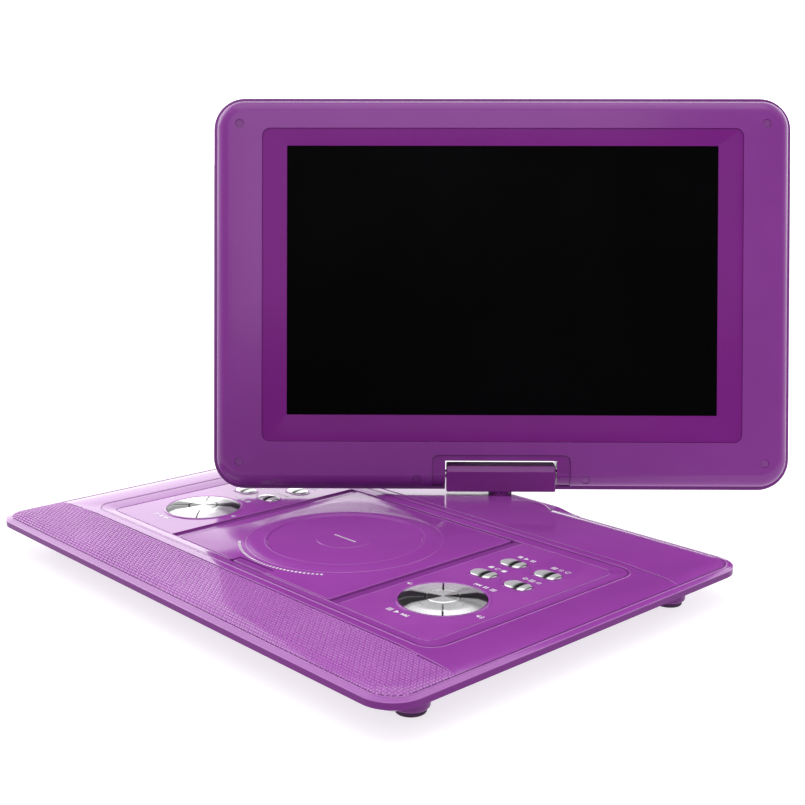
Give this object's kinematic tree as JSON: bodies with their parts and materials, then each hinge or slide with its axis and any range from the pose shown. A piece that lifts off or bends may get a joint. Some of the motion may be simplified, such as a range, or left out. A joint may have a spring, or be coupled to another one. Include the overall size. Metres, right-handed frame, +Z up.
{
  "type": "portable dvd player",
  "caption": "Portable disc player with a swivelling, tilting wide screen over a flat base with a disc lid, direction pads and chromed keys.",
  "frame": {"origin": "on the table, 2.5 mm below the middle of the base's flat underside (the mount underside)", "axes": "+X to the right of a person facing the base, +Y from the palm rest to the screen hinge, +Z up"},
  "size_m": [0.343, 0.4062, 0.2583],
  "materials": {
    "base_shell": "glossy, pearly purple",
    "palm_texture": "purple, embossed with a fine woven grain",
    "bezel_shell": "glossy dark purple",
    "inner_frame": "high gloss, deep purple",
    "hinge_moulding": "glossy deep purple",
    "key_chrome": "bright plated",
    "screen_black": "near black, gloss",
    "cap_plastic": "satin",
    "inner_plastic": "satin black",
    "steel": "bright pressed steel",
    "brass": "turned",
    "rubber": "matt",
    "board": "green solder mask",
    "cell_wrap": "shrink film",
    "light_guide": "milky white",
    "lens": "coated lens"
  },
  "bodies": {
    "base": {"base_top_shell": "base_shell", "base_bottom_shell": "base_shell", "palm_rest_panel": "palm_texture", "left_key_panel": "base_shell", "right_key_panel": "base_shell", "disc_tray": "inner_plastic", "deck_chassis": "steel", "guide_rods": "steel", "spindle_motor": "steel", "feed_motor": "steel", "main_board": "board", "battery_pack": "cell_wrap", "speakers": "inner_plastic", "key_boards": "board", "rubber_feet": "rubber", "base_screws": "steel", "usb_socket": "steel", "card_socket": "steel", "dc_socket": "inner_plastic", "audio_sockets": "inner_plastic", "pivot_bush": "inner_plastic"},
    "lid": {"disc_lid": "base_shell", "lid_pins": "steel"},
    "latch": {"lid_latch": "base_shell"},
    "spindle": {"spindle_hub": "inner_plastic"},
    "pickup": {"pickup_sled": "inner_plastic", "pickup_lens": "lens"},
    "pinion": {"feed_pinion": "brass"},
    "switch": {"power_switch": "inner_plastic"},
    "swivel": {"swivel_block": "hinge_moulding", "swivel_post": "steel", "tilt_shaft": "steel"},
    "screen": {"screen_bezel": "bezel_shell", "screen_frame": "inner_frame", "lcd_panel": "screen_black", "backlight": "light_guide", "screen_board": "board", "screen_back": "bezel_shell", "hinge_cover": "hinge_moulding", "hinge_brackets": "steel", "screen_caps": "cap_plastic"},
    "left_key_rear_inner": {"left_key_rear_inner": "key_chrome"},
    "left_key_rear_outer": {"left_key_rear_outer": "key_chrome"},
    "left_key_front_inner": {"left_key_front_inner": "key_chrome"},
    "left_key_front_outer": {"left_key_front_outer": "key_chrome"},
    "left_pad_east": {"left_pad_east": "key_chrome"},
    "left_pad_north": {"left_pad_north": "key_chrome"},
    "left_pad_west": {"left_pad_west": "key_chrome"},
    "left_pad_south": {"left_pad_south": "key_chrome"},
    "left_pad_centre": {"left_pad_centre": "key_chrome"},
    "right_key_rear_inner": {"right_key_rear_inner": "key_chrome"},
    "right_key_rear_outer": {"right_key_rear_outer": "key_chrome"},
    "right_key_front_inner": {"right_key_front_inner": "key_chrome"},
    "right_key_front_outer": {"right_key_front_outer": "key_chrome"},
    "right_pad_east": {"right_pad_east": "key_chrome"},
    "right_pad_north": {"right_pad_north": "key_chrome"},
    "right_pad_west": {"right_pad_west": "key_chrome"},
    "right_pad_south": {"right_pad_south": "key_chrome"},
    "right_pad_centre": {"right_pad_centre": "key_chrome"}
  },
  "joints": [
    {"name": "lid_hinge", "type": "hinge", "parent": "base", "child": "lid", "pos_m": [0, 0.056, 0.017], "axis": [-1, 0, 0], "range_deg": [0, 33]},
    {"name": "latch_slide", "type": "slide", "parent": "base", "child": "latch", "axis": [0, -1, 0], "range_m": [0, 0.0022], "stiffness_N_per_m": 300},
    {"name": "spindle_spin", "type": "hinge", "parent": "base", "child": "spindle", "pos_m": [0, -0.0033, 0.012], "axis": [0, 0, 1], "continuous": true},
    {"name": "pickup_slide", "type": "slide", "parent": "base", "child": "pickup", "axis": [0, -1, 0], "range_m": [0, 0.028]},
    {"name": "pinion_spin", "type": "hinge", "parent": "base", "child": "pinion", "pos_m": [0.0262, -0.029, 0.0063], "axis": [0, 0, 1], "range_deg": [-2, 384]},
    {"name": "switch_slide", "type": "slide", "parent": "base", "child": "switch", "axis": [0, 1, 0], "range_m": [0, 0.005]},
    {"name": "screen_swivel", "type": "hinge", "parent": "base", "child": "swivel", "pos_m": [0, 0.1214, 0.018], "axis": [0, 0, 1], "range_deg": [-136.6, 133.4]},
    {"name": "screen_tilt", "type": "hinge", "parent": "swivel", "child": "screen", "pos_m": [0, 0.1214, 0.034], "axis": [0.6866, 0.7271, 0], "range_deg": [-78.4, 101.6]},
    {"name": "left_key_rear_inner_press", "type": "slide", "parent": "base", "child": "left_key_rear_inner", "axis": [0, 0, -1], "range_m": [0, 0.0008], "stiffness_N_per_m": 600},
    {"name": "left_key_rear_outer_press", "type": "slide", "parent": "base", "child": "left_key_rear_outer", "axis": [0, 0, -1], "range_m": [0, 0.0008], "stiffness_N_per_m": 600},
    {"name": "left_key_front_inner_press", "type": "slide", "parent": "base", "child": "left_key_front_inner", "axis": [0, 0, -1], "range_m": [0, 0.0008], "stiffness_N_per_m": 600},
    {"name": "left_key_front_outer_press", "type": "slide", "parent": "base", "child": "left_key_front_outer", "axis": [0, 0, -1], "range_m": [0, 0.0008], "stiffness_N_per_m": 600},
    {"name": "left_pad_east_press", "type": "slide", "parent": "base", "child": "left_pad_east", "axis": [0, 0, -1], "range_m": [0, 0.0008], "stiffness_N_per_m": 600},
    {"name": "left_pad_north_press", "type": "slide", "parent": "base", "child": "left_pad_north", "axis": [0, 0, -1], "range_m": [0, 0.0008], "stiffness_N_per_m": 600},
    {"name": "left_pad_west_press", "type": "slide", "parent": "base", "child": "left_pad_west", "axis": [0, 0, -1], "range_m": [0, 0.0008], "stiffness_N_per_m": 600},
    {"name": "left_pad_south_press", "type": "slide", "parent": "base", "child": "left_pad_south", "axis": [0, 0, -1], "range_m": [0, 0.0008], "stiffness_N_per_m": 600},
    {"name": "left_pad_centre_press", "type": "slide", "parent": "base", "child": "left_pad_centre", "axis": [0, 0, -1], "range_m": [0, 0.0008], "stiffness_N_per_m": 600},
    {"name": "right_key_rear_inner_press", "type": "slide", "parent": "base", "child": "right_key_rear_inner", "axis": [0, 0, -1], "range_m": [0, 0.0008], "stiffness_N_per_m": 600},
    {"name": "right_key_rear_outer_press", "type": "slide", "parent": "base", "child": "right_key_rear_outer", "axis": [0, 0, -1], "range_m": [0, 0.0008], "stiffness_N_per_m": 600},
    {"name": "right_key_front_inner_press", "type": "slide", "parent": "base", "child": "right_key_front_inner", "axis": [0, 0, -1], "range_m": [0, 0.0008], "stiffness_N_per_m": 600},
    {"name": "right_key_front_outer_press", "type": "slide", "parent": "base", "child": "right_key_front_outer", "axis": [0, 0, -1], "range_m": [0, 0.0008], "stiffness_N_per_m": 600},
    {"name": "right_pad_east_press", "type": "slide", "parent": "base", "child": "right_pad_east", "axis": [0, 0, -1], "range_m": [0, 0.0008], "stiffness_N_per_m": 600},
    {"name": "right_pad_north_press", "type": "slide", "parent": "base", "child": "right_pad_north", "axis": [0, 0, -1], "range_m": [0, 0.0008], "stiffness_N_per_m": 600},
    {"name": "right_pad_west_press", "type": "slide", "parent": "base", "child": "right_pad_west", "axis": [0, 0, -1], "range_m": [0, 0.0008], "stiffness_N_per_m": 600},
    {"name": "right_pad_south_press", "type": "slide", "parent": "base", "child": "right_pad_south", "axis": [0, 0, -1], "range_m": [0, 0.0008], "stiffness_N_per_m": 600},
    {"name": "right_pad_centre_press", "type": "slide", "parent": "base", "child": "right_pad_centre", "axis": [0, 0, -1], "range_m": [0, 0.0008], "stiffness_N_per_m": 600}
  ],
  "couplings": [
    {"joint": "pinion_spin", "follows": "pickup_slide", "rad_per_m": 238.1}
  ]
}
